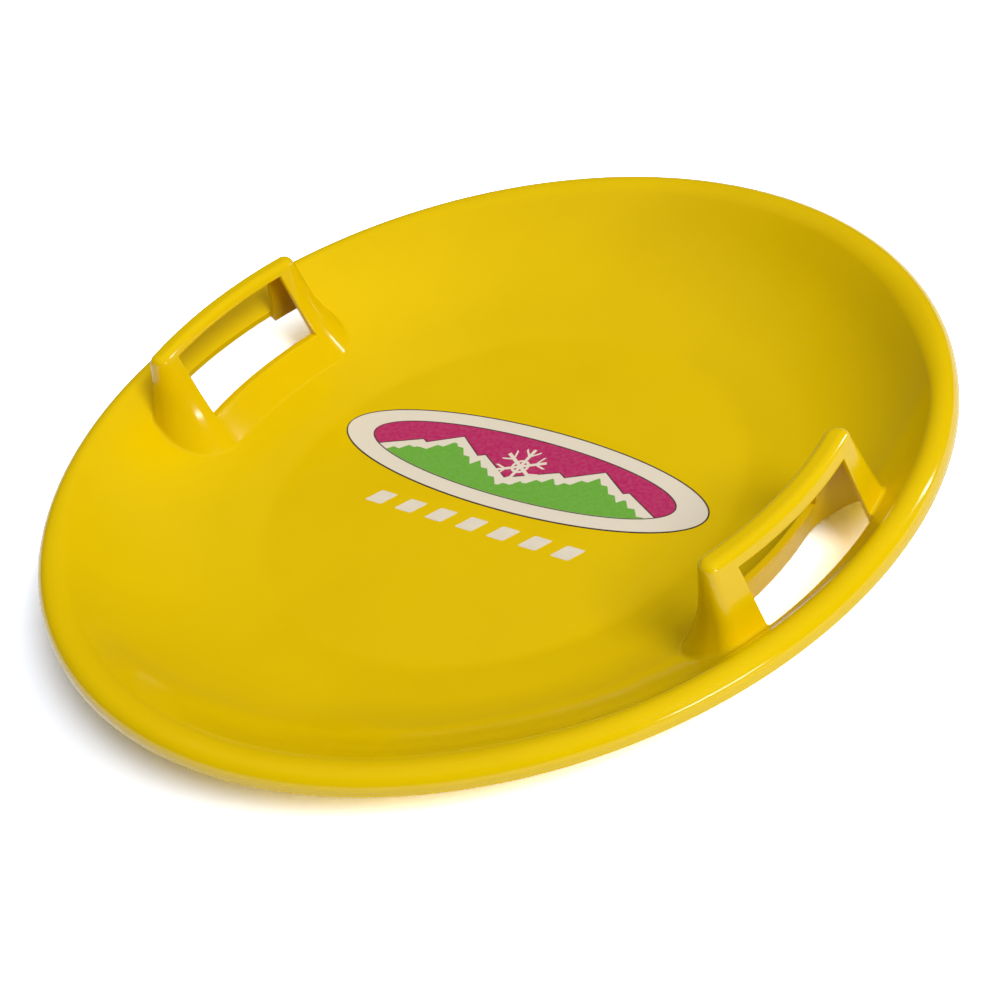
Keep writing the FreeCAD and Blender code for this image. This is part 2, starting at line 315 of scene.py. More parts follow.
class Section:
    """Upper and lower faces of the shell from the axis to the lip."""

    floor_steps, round_steps, band_steps = 12, 8, 6
    foot_steps, wall_steps = 4, 32
    climb_steps, inner_steps, outer_steps, lip_steps = 10, 16, 18, 2

    def __init__(self, shape, climb_slope, inner_roll):
        self.shape, self.climb_slope, self.inner_roll = shape, climb_slope, inner_roll
        band, turn = shape.band_slope, climb_slope - shape.band_slope
        floor_corner = Vector((shape.floor_radius, shape.thickness))
        flat_end = shape.floor_radius - shape.floor_round * math.tan(band / 2)
        self.round_centre = Vector((flat_end, shape.thickness + shape.floor_round))
        width = shape.band_radius - shape.floor_radius
        self.band_end = floor_corner + Vector((width, width * math.tan(band)))
        edge = Vector((shape.outer_radius, shape.crest_height))
        self.roll_centre = edge - Vector((1, 1)) * shape.roll_radius
        self.inner_centre = Vector((self.roll_centre.x, shape.crest_height - inner_roll))
        self.climb_end = self.inner_centre + facing(climb_slope) * inner_roll
        gap = self.climb_end - self.band_end
        tangent = (gap.x * math.sin(climb_slope) - gap.y * math.cos(climb_slope)) / math.sin(turn)
        self.wall_radius = tangent / math.tan(turn / 2)
        self.wall_centre = self.band_end + facing(band) * self.wall_radius

    def face(self, radius, depth):
        """Place and slope of the band, the wall or its straight climb, at a depth in the shell."""
        round_radius = self.wall_radius + depth
        if radius < self.shape.band_radius:
            start, slope = self.band_end, self.shape.band_slope
        elif radius > self.wall_centre.x + round_radius * math.sin(self.climb_slope):
            start, slope = self.climb_end, self.climb_slope
        else:
            slope = math.asin((radius - self.wall_centre.x) / round_radius)
            return self.wall_centre - facing(slope) * round_radius, slope
        rise = (radius - start.x) * math.tan(slope)
        return Vector((radius, start.y + rise - depth / math.cos(slope))), slope

    def floor_row(self, depth):
        seam, height = self.shape.floor_seam, self.shape.thickness - depth
        return [(Vector((seam * share, height)), 0.0) for share in [0.0] + shares(self.floor_steps)]

    def band_row(self, depth):
        shape = self.shape
        row = [(Vector((shape.floor_seam, shape.thickness - depth)), 0.0)]
        for slope in [0.0] + shares(self.round_steps, 0.0, shape.band_slope):
            row.append((self.round_centre - facing(slope) * (shape.floor_round + depth), slope))
        start = row[-1][0]
        for run in shares(self.band_steps, 0.0, shape.band_radius - start.x):
            row.append((start + Vector((run, run * math.tan(shape.band_slope))), shape.band_slope))
        return row

    def wall_row(self, depth):
        """From the band to the rim's seam, with a place at the inner edge of the grips' zone."""
        shape = self.shape
        band, zone, seam = shape.band_radius, shape.grip_zone_radius, shape.rim_seam
        radii = [band] + shares(self.foot_steps, band, zone) + shares(self.wall_steps, zone, seam)
        return [self.face(radius, depth) for radius in radii]

    def rim_row(self, depth):
        """From the seam up the climb, over the roll and down the lip."""
        shape, seam = self.shape, self.shape.rim_seam
        top = self.climb_end - facing(self.climb_slope) * depth
        radii = [seam] + shares(self.climb_steps, seam, top.x)
        row = [self.face(radius, depth) for radius in radii]
        for slope in shares(self.inner_steps, self.climb_slope, 0.0):
            row.append((self.inner_centre + facing(slope) * (self.inner_roll - depth), slope))
        for slope in shares(self.outer_steps, 0.0, -math.pi / 2):
            row.append((self.roll_centre + facing(slope) * (shape.roll_radius - depth), slope))
        side = row[-1][0]
        drops = shares(self.lip_steps, 0.0, shape.lip_length)
        return row + [(side - Vector((0, drop)), -math.pi / 2) for drop in drops]

    def clearance(self, point):
        """Distance of a point above the upper face."""
        place = Vector((math.hypot(point.x, point.y), point.z))
        out = place - self.wall_centre
        turn = math.atan2(out.x, -out.y)
        if turn < self.shape.band_slope:
            return (place - self.band_end).dot(facing(self.shape.band_slope))
        if turn > self.climb_slope:
            return (place - self.climb_end).dot(facing(self.climb_slope))
        return self.wall_radius - out.length


def shell_sections(shape):
    """Section beside the grips with a tight roll, and the fuller one away from them."""
    return {
        "firm_": Section(shape, shape.firm_slope, shape.roll_radius),
        "soft_": Section(shape, shape.soft_slope, shape.soft_roll)}


def new_tree(name, sockets):
    """Empty geometry tree with named inputs, and its input node."""
    tree = bpy.data.node_groups.new(name, "GeometryNodeTree")
    for label, kind in [("Geometry", "Geometry"), *sockets, ("Material", "Material")]:
        tree.interface.new_socket(label, in_out="INPUT", socket_type="NodeSocket" + kind)
    tree.interface.new_socket("Geometry", in_out="OUTPUT", socket_type="NodeSocketGeometry")
    net = Net(tree)
    return net, net.node("NodeGroupInput")


def close_tree(net, given, geometry):
    """Real geometry with its material at the end of a tree."""
    real = net.node("GeometryNodeRealizeInstances", None, {"Geometry": geometry})
    dressed = net.node("GeometryNodeSetMaterial", None, {
        "Geometry": real, "Material": given.output("Material")})
    net.node("NodeGroupOutput", None, {"Geometry": dressed})
    return net.tree


def turned_shell_tree(shape):
    """Turns a section about the axis, cuts out the grips' zones and gives the skin its lower face."""
    net, given = new_tree("turned_shell", [
        ("Section Points", "Int"), ("Steps", "Int"), ("Cut Radius", "Float"), ("Cut Angle", "Float")])
    count, steps = given.output("Section Points"), given.output("Steps")
    grid = net.node("GeometryNodeMeshGrid", None, {
        "Size X": 1.0, "Size Y": 1.0, "Vertices X": count, "Vertices Y": steps + 1})
    along, around, _ = net.split(net.node("GeometryNodeInputPosition"))
    index = ((along + 0.5) * (count - 1)).maths("ROUND")
    turn = (around + 0.5) * math.tau
    first, last = math.sin(shape.soft_start), math.sin(shape.soft_end)
    away = step(abs(turn.maths("SINE")), (first + last) / 2, (last - first) / 2)

    vectors = {"data_type": "FLOAT_VECTOR"}

    def named(name):
        return net.node("GeometryNodeInputNamedAttribute", vectors, {"Name": name})

    def spun(name):
        firm, soft = (
            net.node("GeometryNodeSampleIndex", vectors, {
                "Geometry": given.output("Geometry"), "Value": named(kind + name), "Index": index})
            for kind in ("firm_", "soft_"))
        return net.node("ShaderNodeVectorRotate", {"rotation_type": "Z_AXIS"}, {
            "Vector": net.mix("VECTOR", away, firm, soft), "Angle": turn})

    def store(geometry, name, value, chosen=True):
        return net.node(
            "GeometryNodeStoreNamedAttribute", {**vectors, "domain": "POINT"},
            {"Geometry": geometry, "Selection": chosen, "Name": name, "Value": value})

    skin = grid
    for name in ("facing", "under", "under_facing"):
        skin = store(skin, name, spun(name))
    skin = net.node("GeometryNodeSetPosition", None, {"Geometry": skin, "Position": spun("place")})
    skin = net.node("GeometryNodeMergeByDistance", None, {
        "Geometry": skin, "Distance": SEAM_REACH})
    x, y, _ = net.split(net.node("GeometryNodeInputPosition"))
    slope = given.output("Cut Angle").maths("TANGENT")
    in_zone = ((x * x + y * y) ** 0.5 > given.output("Cut Radius")) * (abs(y) < abs(x) * slope)
    skin = net.node("GeometryNodeDeleteGeometry", {"domain": "FACE"}, {
        "Geometry": skin, "Selection": in_zone})
    raised = net.node("GeometryNodeExtrudeMesh", {"mode": "FACES"}, {
        "Mesh": skin, "Offset Scale": 0.0, "Individual": False})
    lower = raised.output("Top")
    body = store(raised, "facing", named("under_facing"), lower)
    body = net.node("GeometryNodeSetPosition", None, {
        "Geometry": body, "Selection": lower, "Position": named("under")})
    body = net.node("GeometryNodeFlipFaces", None, {"Mesh": body})
    whole = net.node("GeometryNodeJoinGeometry", None, {"Geometry": [skin, body]})
    whole = net.node("GeometryNodeMergeByDistance", None, {
        "Geometry": whole, "Distance": EDGE_REACH})
    whole = net.node("GeometryNodeSetShadeSmooth", None, {"Geometry": whole})
    return close_tree(net, given, whole)


def repeated_tree():
    """Sets copies of one shape along a line and puts the row in its place."""
    net, given = new_tree("dash_row", [
        ("Count", "Int"), ("Start", "Vector"), ("Pitch", "Vector"), ("Turn", "Vector"),
        ("Place", "Vector")])
    line = net.node("GeometryNodeMeshLine", None, {
        "Count": given.output("Count"), "Start Location": given.output("Start"),
        "Offset": given.output("Pitch")})
    row = net.node("GeometryNodeInstanceOnPoints", None, {
        "Points": line, "Instance": given.output("Geometry")})
    row = net.node("GeometryNodeRealizeInstances", None, {"Geometry": row})
    row = net.node("GeometryNodeTransform", None, {
        "Geometry": row, "Translation": given.output("Place"), "Rotation": given.output("Turn")})
    return close_tree(net, given, row)


def new_object(name, mesh):
    piece = bpy.data.objects.new(name, mesh)
    bpy.context.scene.collection.objects.link(piece)
    return piece


def grown(piece, tree, values):
    """Run a geometry tree on a piece and keep its result as a plain mesh."""
    modifier = piece.modifiers.new(tree.name, "NODES")
    modifier.node_group = tree
    for item in tree.interface.items_tree:
        if item.in_out == "INPUT" and item.name in values:
            modifier[item.identifier] = values[item.name]
    depsgraph = bpy.context.evaluated_depsgraph_get()
    mesh = bpy.data.meshes.new_from_object(piece.evaluated_get(depsgraph))
    piece.modifiers.remove(modifier)
    start = piece.data
    piece.data = mesh
    mesh.name = piece.name
    bpy.data.meshes.remove(start)
    if not mesh.polygons:
        raise RuntimeError(piece.name + " came out empty")
    return mesh


def settle(piece, slot, *nodes):
    """Tie a finished piece to the sled."""
    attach(piece, BODY)
    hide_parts(*nodes)


def shade_by_facing(mesh, known_facing):
    """Smooth shading with true normals where a corner lies on a known skin."""
    mesh.shade_smooth()
    mesh.set_sharp_from_angle(angle=SHARP_ANGLE)
    normals = []
    for face in mesh.polygons:
        for vertex in face.vertices:
            known = known_facing[vertex]
            normals.append(known if known.dot(face.normal) > SAME_SIDE else (0, 0, 0))
    mesh.normals_split_custom_set(normals)


def section_mesh(name, sections):
    """Line of points that carries the faces of the firm and the soft section with their normals."""
    mesh = bpy.data.meshes.new(name)
    count = len(sections["firm_"][0])
    edges = [(at, at + 1) for at in range(count - 1)]
    mesh.from_pydata([(at, 0, 0) for at in range(count)], edges, [])
    for kind, (upper, lower) in sections.items():
        rows = {
            "place": [upright(place) for place, _ in upper],
            "facing": [upright(facing(slope)) for _, slope in upper],
            "under": [upright(place) for place, _ in lower],
            "under_facing": [-upright(facing(slope)) for _, slope in lower],
        }
        for label, vectors in rows.items():
            layer = mesh.attributes.new(kind + label, "FLOAT_VECTOR", "POINT")
            layer.data.foreach_set("vector", [value for vector in vectors for value in vector])
    return mesh


def turned_piece(name, sections, tree, material, cut_angle):
    """Ring of the shell, turned from its section."""
    shape = bpy.context.scene.sled_shape
    piece = new_object(name, section_mesh(name, sections))
    mesh = grown(piece, tree, {
        "Section Points": len(sections["firm_"][0]), "Steps": shape.turn_steps,
        "Cut Radius": shape.grip_zone_radius, "Cut Angle": cut_angle, "Material": material})
    known_facing = [Vector(item.vector) for item in mesh.attributes["facing"].data]
    for label in ("facing", "under", "under_facing"):
        mesh.attributes.remove(mesh.attributes[label])
    shade_by_facing(mesh, known_facing)
    return piece


# Grips: level outlines of the bump and the columns of points that run down its skins
def ray(turn):
    return Vector((math.cos(turn), math.sin(turn)))


class Outline:
    """Level outline of a grip at a height, moved inwards by an inset."""

    def __init__(self, grip, height, inset):
        drop = grip.top_height - height
        share = drop / grip.top_height
        low = max(0.0, 1 - height / grip.flare_height) ** 2 if inset == 0 else 0.0

        def spread(draft):
            """How far a leaning wall lies outside the edge of the flat top."""
            return drop * math.tan(draft) - inset / math.cos(draft)

        def corner_middle(reach, across):
            return Vector((math.sqrt(reach ** 2 - across ** 2), across))

        self.inner = grip.bar_inner - spread(grip.inner_draft) - grip.flare_inboard * low
        self.outer = grip.bar_outer + spread(grip.outer_draft)
        self.half = grip.half_length + spread(grip.end_draft) + grip.flare_end * low
        near = part_way(grip.top_inner_corner, grip.ground_inner_corner, share) - inset
        far = part_way(grip.top_outer_corner, grip.ground_outer_corner, share) - inset
        self.near_corner, self.far_corner = near, far
        self.near = corner_middle(self.inner + near, self.half - near)
        self.far = corner_middle(self.outer - far, self.half - far)

    def inboard(self, y):
        """Point of the inboard side and its outward direction, at a distance along the grip."""
        side = abs(y)
        if side <= self.near.y * self.inner / (self.inner + self.near_corner):
            place = Vector((math.sqrt(self.inner ** 2 - side ** 2), y))
            return place, -place.normalized()
        middle = Vector((self.near.x, math.copysign(self.near.y, y)))
        place = Vector((self.near.x - math.sqrt(self.near_corner ** 2 - (side - self.near.y) ** 2), y))
        return place, (place - middle).normalized()

    def outboard(self, y):
        place = Vector((math.sqrt(self.outer ** 2 - y ** 2), y))
        return place, place.normalized()

    def around_end(self, share, start_y):
        """Point and outward direction on the way round the +Y end, from inboard to outboard."""
        near_turn = math.atan2(self.near.y, self.near.x)
        far_turn = math.atan2(self.far.y, self.far.x)
        runs = []
        corner_start = math.pi + near_turn
        if self.inner * math.sin(near_turn) > start_y:
            runs.append((Vector((0, 0)), self.inner, math.asin(start_y / self.inner), near_turn, -1))
        else:
            corner_start = math.pi - math.asin((start_y - self.near.y) / self.near_corner)
        runs.append((self.near, self.near_corner, corner_start, math.pi / 2, 1))
        runs.append((Vector((self.near.x, self.half)), Vector((self.far.x, self.half))))
        runs.append((self.far, self.far_corner, math.pi / 2, far_turn, 1))
        runs.append((Vector((0, 0)), self.outer, far_turn, math.asin(start_y / self.outer), 1))
        spans = [
            (run[1] - run[0]).length if len(run) == 2 else run[1] * abs(run[3] - run[2])
            for run in runs]
        left = share * sum(spans)
        for run, span in zip(runs, spans):
            if left > span and run is not runs[-1]:
                left -= span
                continue
            if len(run) == 2:
                return run[0].lerp(run[1], left / span), Vector((0, 1))
            out = ray(run[2] + (run[3] - run[2]) * left / span)
            return run[0] + out * run[1], out * run[4]


class Column:
    """One line of points down a grip, known by its place around the outline."""

    def __init__(self, grip, zone, y, share):
        self.grip, self.zone, self.y, self.share = grip, zone, y, share

    def level(self, height, inset):
        outline = Outline(self.grip, height, inset)
        if self.zone == "inboard":
            return outline.inboard(self.y)
        if self.zone == "outboard":
            return outline.outboard(self.y)
        flip = Vector((1, self.y))
        return tuple(value * flip for value in outline.around_end(self.share, self.grip.window_half))

    def point(self, height, inset):
        return self.level(height, inset)[0].to_3d() + UP * height

    def normal(self, height, inset):
        """Outward normal of the drafted wall."""
        nudge = 1e-5
        out = self.level(height, inset)[1].to_3d()
        drift = (self.point(height + nudge, inset) - self.point(height - nudge, inset)) / (2 * nudge)
        return (out - UP * out.dot(drift)).normalized()


def solve(function, low, high):
    """Value between low and high where a rising function passes zero."""
    for _ in range(50):
        middle = (low + high) / 2
        low, high = (middle, high) if function(middle) < 0 else (low, middle)
    return (low + high) / 2


class GripMesh:
    """Points, normals and faces of the right grip."""

    crown_rows, shoulder_rows, wall_rows, knee_rows, foot_rows, dish_rows = 8, 2, 14, 4, 10, 4
    side_columns, end_columns = 26, 48
    lowest_foot, highest_foot, ball_reach = 0.001, 0.06, 0.04  # where feet are looked for, metres
    end_knee = 0.25  # height of the sill's row at the middle of an end, as a share of the wall
    first_bend, last_bend = 1 / 3, 3 / 4  # columns at the corners of the border
    edge_steps = 3

    def __init__(self, shape, grip, section):
        self.shape, self.grip, self.section = shape, grip, section
        self.points, self.facing, self.hollow, self.faces = [], [], [], []
        self.head_row = self.crown_rows + self.shoulder_rows
        self.gap_row = self.head_row + 1
        self.sill_row = self.gap_row + self.wall_rows
        self.last_row = self.sill_row + self.knee_rows + self.foot_rows + self.dish_rows
        half, count = grip.window_half, self.side_columns
        across = [half * (2 * index / count - 1) for index in range(count + 1)]
        ends = [index / self.end_columns for index in range(1, self.end_columns)]
        self.columns = [Column(grip, "inboard", y, 0) for y in across]
        self.columns += [Column(grip, "end", 1, share) for share in ends]
        self.columns += [Column(grip, "outboard", -y, 1) for y in across]
        self.columns += [Column(grip, "end", -1, share) for share in reversed(ends)]
        middle = Column(grip, "inboard", 0, 0), Column(grip, "outboard", 0, 1)
        self.nearest, self.farthest = (self.foot_place(column, 0, 0)[0].xy.length for column in middle)
        jamb = self.columns[count]
        inner_foot = self.foot_place(jamb, shape.thickness, shape.thickness)[1]
        self.knee_shares = [self.knee_share(foot) for foot in (self.foot_ball(jamb)[0], inner_foot)]
        self.outer = [self.outer_column(column) for column in self.columns]
        self.inner = [self.inner_column(column) for column in self.columns]
        self.add_skins()
        self.add_caps()

    def add(self, point, normal, hollow=0.0):
        self.points.append(point)
        self.facing.append(normal)
        self.hollow.append(hollow)
        return len(self.points) - 1

    def dish(self, flat, depth):
        """Point of the dish's upper or lower face, and the upward normal there."""
        radius = flat.length
        place, slope = self.section.face(radius, depth)
        out = flat / radius
        normal = out.to_3d() * -math.sin(slope) + UP * math.cos(slope)
        return flat.to_3d() + UP * place.y, normal

    def foot_place(self, column, inset, depth):
        """Where a wall of the grip meets the dish."""
        def above(height):
            radius = column.point(height, inset).xy.length
            return height - self.section.face(radius, depth)[0].y

        height = solve(above, self.lowest_foot, self.highest_foot)
        return column.point(height, inset), height

    def foot_ball(self, column):
        """Height on the wall, middle and radius of the ball that rounds the foot."""
        grip = self.grip
        place, low = self.foot_place(column, 0, 0)
        share = (place.xy.length - self.nearest) / (self.farthest - self.nearest)
        share, end = min(max(share, 0), 1), grip.foot_end_share
        if share < end:
            radius = part_way(grip.foot_inboard, grip.foot_end, share / end)
        else:
            radius = part_way(grip.foot_end, grip.foot_outboard, (share - end) / (1 - end))

        def middle(height):
            return column.point(height, 0) + column.normal(height, 0) * radius

        def free(height):
            return self.section.clearance(middle(height)) - radius

        height = solve(free, low, low + self.ball_reach)
        return height, middle(height), radius

    def knee_share(self, foot):
        grip = self.grip
        return (grip.sill_height - foot) / (grip.gap_height - foot)

    def knee_height(self, column, foot, jamb_share):
        """Height of the row that is the sill along the window and fades into the ends."""
        if column.zone == "inboard":
            return self.grip.sill_height
        ease = column.share * column.share * (3 - 2 * column.share)
        return part_way(foot, self.grip.gap_height, part_way(jamb_share, self.end_knee, ease))

    def border(self, column):
        """Edge of the grip's piece of wall at a column."""
        shape, half = self.shape, self.grip.window_half
        inner, outer = shape.grip_zone_radius, shape.rim_seam
        if column.zone != "end":
            radius = inner if column.zone == "inboard" else outer
            return Vector((math.sqrt(radius ** 2 - column.y ** 2), column.y))
        turn, at, first, last = shape.grip_zone_angle, column.share, self.first_bend, self.last_bend
        if at <= first:
            flat = ray(part_way(math.asin(half / inner), turn, at / first)) * inner
        elif at <= last:
            flat = ray(turn) * part_way(inner, outer, (at - first) / (last - first))
        else:
            flat = ray(part_way(turn, math.asin(half / outer), (at - last) / (1 - last))) * outer
        return flat * Vector((1, column.y))

    def crown(self, column, top, radius, inset, sign):
        """Rows of the rounded edge of the bar, down to the head of the window."""
        height = top - radius
        for _ in range(6):
            height = top - radius + radius * column.normal(height, inset).z
        normal = column.normal(height, inset)
        centre = column.point(height, inset) - normal * radius
        centre.z = top - radius
        out = normal.xy.to_3d().normalized()
        hollow = float(sign < 0)
        rows = []
        for turn in [math.pi / 2] + shares(self.crown_rows, math.pi / 2, math.asin(normal.z)):
            away = out * math.cos(turn) + UP * math.sin(turn)
            rows.append(self.add(centre + away * radius, away * sign, hollow))
        for level in shares(self.shoulder_rows, self.points[-1].z, self.grip.head_height):
            normal = column.normal(level, inset) * sign
            rows.append(self.add(column.point(level, inset), normal, hollow))
        return rows

    def outer_column(self, column):
        grip = self.grip
        rows = self.crown(column, grip.top_height, grip.bar_round, 0, 1)
        foot, centre, radius = self.foot_ball(column)
        knee = self.knee_height(column, foot, self.knee_shares[0])
        heights = [grip.gap_height] + shares(self.wall_rows, grip.gap_height, knee)
        heights += shares(self.knee_rows, knee, foot)
        rows += [self.add(column.point(height, 0), column.normal(height, 0)) for height in heights]
        start = column.normal(foot, 0)
        end = self.dish(centre.xy, 0)[1]
        for _ in range(4):
            end = self.dish((centre - end * radius).xy, 0)[1]
        for share in shares(self.foot_rows):
            normal = start.slerp(end, share)
            rows.append(self.add(centre - normal * radius, normal))
        rows[-1:] = [self.add(*self.dish((centre - end * radius).xy, 0))]
        return rows + self.dish_run(self.points[rows[-1]].xy, column, 0, 1)

    def inner_column(self, column):
        grip, inset = self.grip, self.shape.thickness
        rows = self.crown(column, grip.top_height - inset, grip.inside_round, inset, -1)
        foot = self.foot_place(column, inset, inset)[1]
        knee = self.knee_height(column, foot, self.knee_shares[1])
        heights = [grip.gap_height] + shares(self.wall_rows, grip.gap_height, knee)
        heights += shares(self.knee_rows + self.foot_rows, knee, foot)
        for height in heights:
            normal = -column.normal(height, inset)
            rows.append(self.add(column.point(height, inset), normal, 1.0))
        return rows + self.dish_run(self.points[rows[-1]].xy, column, inset, -1)

    def dish_run(self, start, column, depth, sign):
        """Rows over the dish from a foot to the border."""
        rows = []
        for share in shares(self.dish_rows):
            point, normal = self.dish(start.lerp(self.border(column), share), depth)
            rows.append(self.add(point, normal * sign))
        return rows

    def span(self, first, second):
        """Side that both columns belong to, if they bound an opening."""
        zones = {self.columns[first].zone, self.columns[second].zone}
        return zones.pop() if len(zones) == 1 else "end"

    def cut(self, side, row):
        """Whether an opening takes the faces below a row."""
        if side == "inboard":
            return self.head_row <= row < self.sill_row
        return side == "outboard" and row >= self.gap_row

    def add_skins(self):
        outer, inner, last = self.outer, self.inner, self.last_row
        count = len(self.columns)
        for first in range(count):
            second = (first + 1) % count
            side = self.span(first, second)
            for row in range(last):
                if not self.cut(side, row):
                    for skin in (outer, inner):
                        here, there = skin[first], skin[second]
                        self.faces.append((here[row], there[row], there[row + 1], here[row + 1]))
            ledges = {
                "inboard": [self.head_row, self.sill_row, last], "outboard": [self.gap_row],
                "end": [last]}
            for row in ledges[side]:
                self.faces.append((
                    outer[first][row], outer[second][row], inner[second][row], inner[first][row]))
        width, ends = self.side_columns, self.end_columns
        far = width + ends
        for jamb, top, bottom in (
                (0, self.head_row, self.sill_row), (width, self.head_row, self.sill_row),
                (far, self.gap_row, last), (far + width, self.gap_row, last)):
            here, there = outer[jamb], inner[jamb]
            for row in range(top, bottom):
                self.faces.append((here[row], here[row + 1], there[row + 1], there[row]))

    def add_caps(self):
        """Flat top of the bar and flat ceiling of the hollow."""
        width, ends, count = self.side_columns, self.end_columns, len(self.columns)
        left = [index % count for index in range(-ends // 2, width + ends // 2 + 1)]
        right = [(width + ends + width + ends // 2 - index) % count for index in range(len(left))]
        for skin, normal, hollow in ((self.outer, UP, 0.0), (self.inner, -UP, 1.0)):
            strips = []
            for near, far in zip(left, right):
                ends_at = skin[near][0], skin[far][0]
                if near == far:
                    strips.append([ends_at[0]] * 4)
                    continue
                start, stop = (self.points[at] for at in ends_at)
                inside = [self.add(start.lerp(stop, share), normal, hollow) for share in shares(3)[:2]]
                strips.append([ends_at[0], *inside, ends_at[1]])
            for first, second in zip(strips, strips[1:]):
                for at in range(3):
                    face = [first[at], second[at], second[at + 1], first[at + 1]]
                    kept = list(dict.fromkeys(face))
                    if len(kept) > 2:
                        self.faces.append(tuple(kept))

    def cut_edges(self):
        """Point pairs along the outer edges of the window and of the gap."""
        width, far, outer = self.side_columns, self.side_columns + self.end_columns, self.outer
        pairs = []
        for first, rows, top, bottom in (
                (0, (self.head_row, self.sill_row), self.head_row, self.sill_row),
                (far, (self.gap_row,), self.gap_row, self.last_row - 1)):
            for row in rows:
                pairs += [(outer[first + at][row], outer[first + at + 1][row]) for at in range(width)]
            for jamb in (first, first + width):
                pairs += [(outer[jamb][row], outer[jamb][row + 1]) for row in range(top, bottom)]
        return pairs

    def mesh(self, name, turn):
        """Closed mesh, turned about the sled's axis."""
        spin = Matrix.Rotation(turn, 3, "Z")
        mesh = bpy.data.meshes.new(name)
        mesh.from_pydata([spin @ point for point in self.points], [], self.faces)
        build = bmesh.new()
        build.from_mesh(mesh)
        build.verts.ensure_lookup_table()
        facing_layer = build.verts.layers.float_vector.new("facing")
        # The hollow flag marks the inner skin, which the plastic paints deeper orange as painted bounce
        # light.
        hollow_layer = build.verts.layers.float.new("hollow")
        for vertex, normal, hollow in zip(build.verts, self.facing, self.hollow):
            vertex[facing_layer] = spin @ normal
            vertex[hollow_layer] = hollow
        bmesh.ops.recalc_face_normals(build, faces=build.faces)
        edges = [build.edges.get([build.verts[at] for at in pair]) for pair in self.cut_edges()]
        loose = [vertex for vertex in build.verts if not vertex.link_faces]
        bmesh.ops.bevel(
            build, geom=edges, offset=self.grip.cut_edge, segments=self.edge_steps, profile=0.5,
            affect="EDGES")
        bmesh.ops.delete(build, geom=loose, context="VERTS")
        if any(len(edge.link_faces) != 2 for edge in build.edges):
            raise RuntimeError(name + " isn't closed")
        build.to_mesh(mesh)
        build.free()
        known_facing = [Vector(item.vector) for item in mesh.attributes["facing"].data]
        mesh.attributes.remove(mesh.attributes["facing"])
        shade_by_facing(mesh, known_facing)
        return mesh


# Finishes
def new_material(name):
    material = bpy.data.materials.new(name)
    material.use_nodes = True
    material.node_tree.nodes.clear()
    return material, Net(material.node_tree)


def finished(net, settings):
    """Principled surface at the end of a material."""
    surface = net.node("ShaderNodeBsdfPrincipled", None, settings)
    net.node("ShaderNodeOutputMaterial", None, {"Surface": surface})


def noise(net, place, scale, detail):
    return net.node("ShaderNodeTexNoise", None, {
        "Vector": place, "Scale": scale, "Detail": detail, "Roughness": 0.5})


def yellow_plastic(finish):
    """Glossy moulded plastic: faint flow marks, a fine moulded skin, light scuffs and painted bounce
    light inside the hollow grips.
    """
    material, net = new_material("moulded_yellow")
    deep, pale, worn_tint = 0.965, 1.02, 0.10
    grain_rough, flow_rough, worn_rough = 0.06, 0.05, 0.10
    place = net.node("ShaderNodeTexCoord", None, None, "Object")
    flow = noise(net, place, scale=9.0, detail=3.0)
    grain = noise(net, place, scale=900.0, detail=2.0)
    waves = noise(net, place, scale=22.0, detail=1.0)
    drawn = net.node("ShaderNodeMapping", None, {"Vector": place, "Scale": (40, 900, 200)})
    scuffs = step(noise(net, drawn, scale=1.0, detail=3.0), 0.70, 0.05)
    worn = scuffs * step(noise(net, place, scale=14.0, detail=2.0), 0.55, 0.12)
    base = Vector(finish.plastic)
    tint = net.blend(step(flow, 0.5, 0.25), base * deep, base * pale)
    # Painted bounce light: the inner skin of the hollow grips takes the deeper orange, for light bounced
    # inside them and glowing through the thin plastic.
    hollow = net.node("ShaderNodeAttribute", {"attribute_name": "hollow"}, None, "Fac")
    tint = net.blend(hollow, tint, finish.painted_bounce)
    tint = net.blend(worn * worn_tint, tint, finish.scuff)
    rough = finish.gloss + (grain - 0.5) * grain_rough + (flow - 0.5) * flow_rough
    bump = net.node("ShaderNodeBump", None, {
        "Strength": 0.05, "Distance": 0.0004, "Height": grain * 0.5 + waves})
    finished(net, {
        "Base Color": tint, "Roughness": rough + worn * worn_rough, "Normal": bump,
        "IOR": finish.plastic_index})
    return material


def film_surface(net, finish, tint, rough, skin):
    """Satin printed film with a faintly uneven skin."""
    bump = net.node("ShaderNodeBump", None, {"Strength": 0.08, "Distance": 0.0001, "Height": skin})
    finished(net, {
        "Base Color": tint, "Roughness": rough, "Normal": bump, "IOR": finish.film_index})


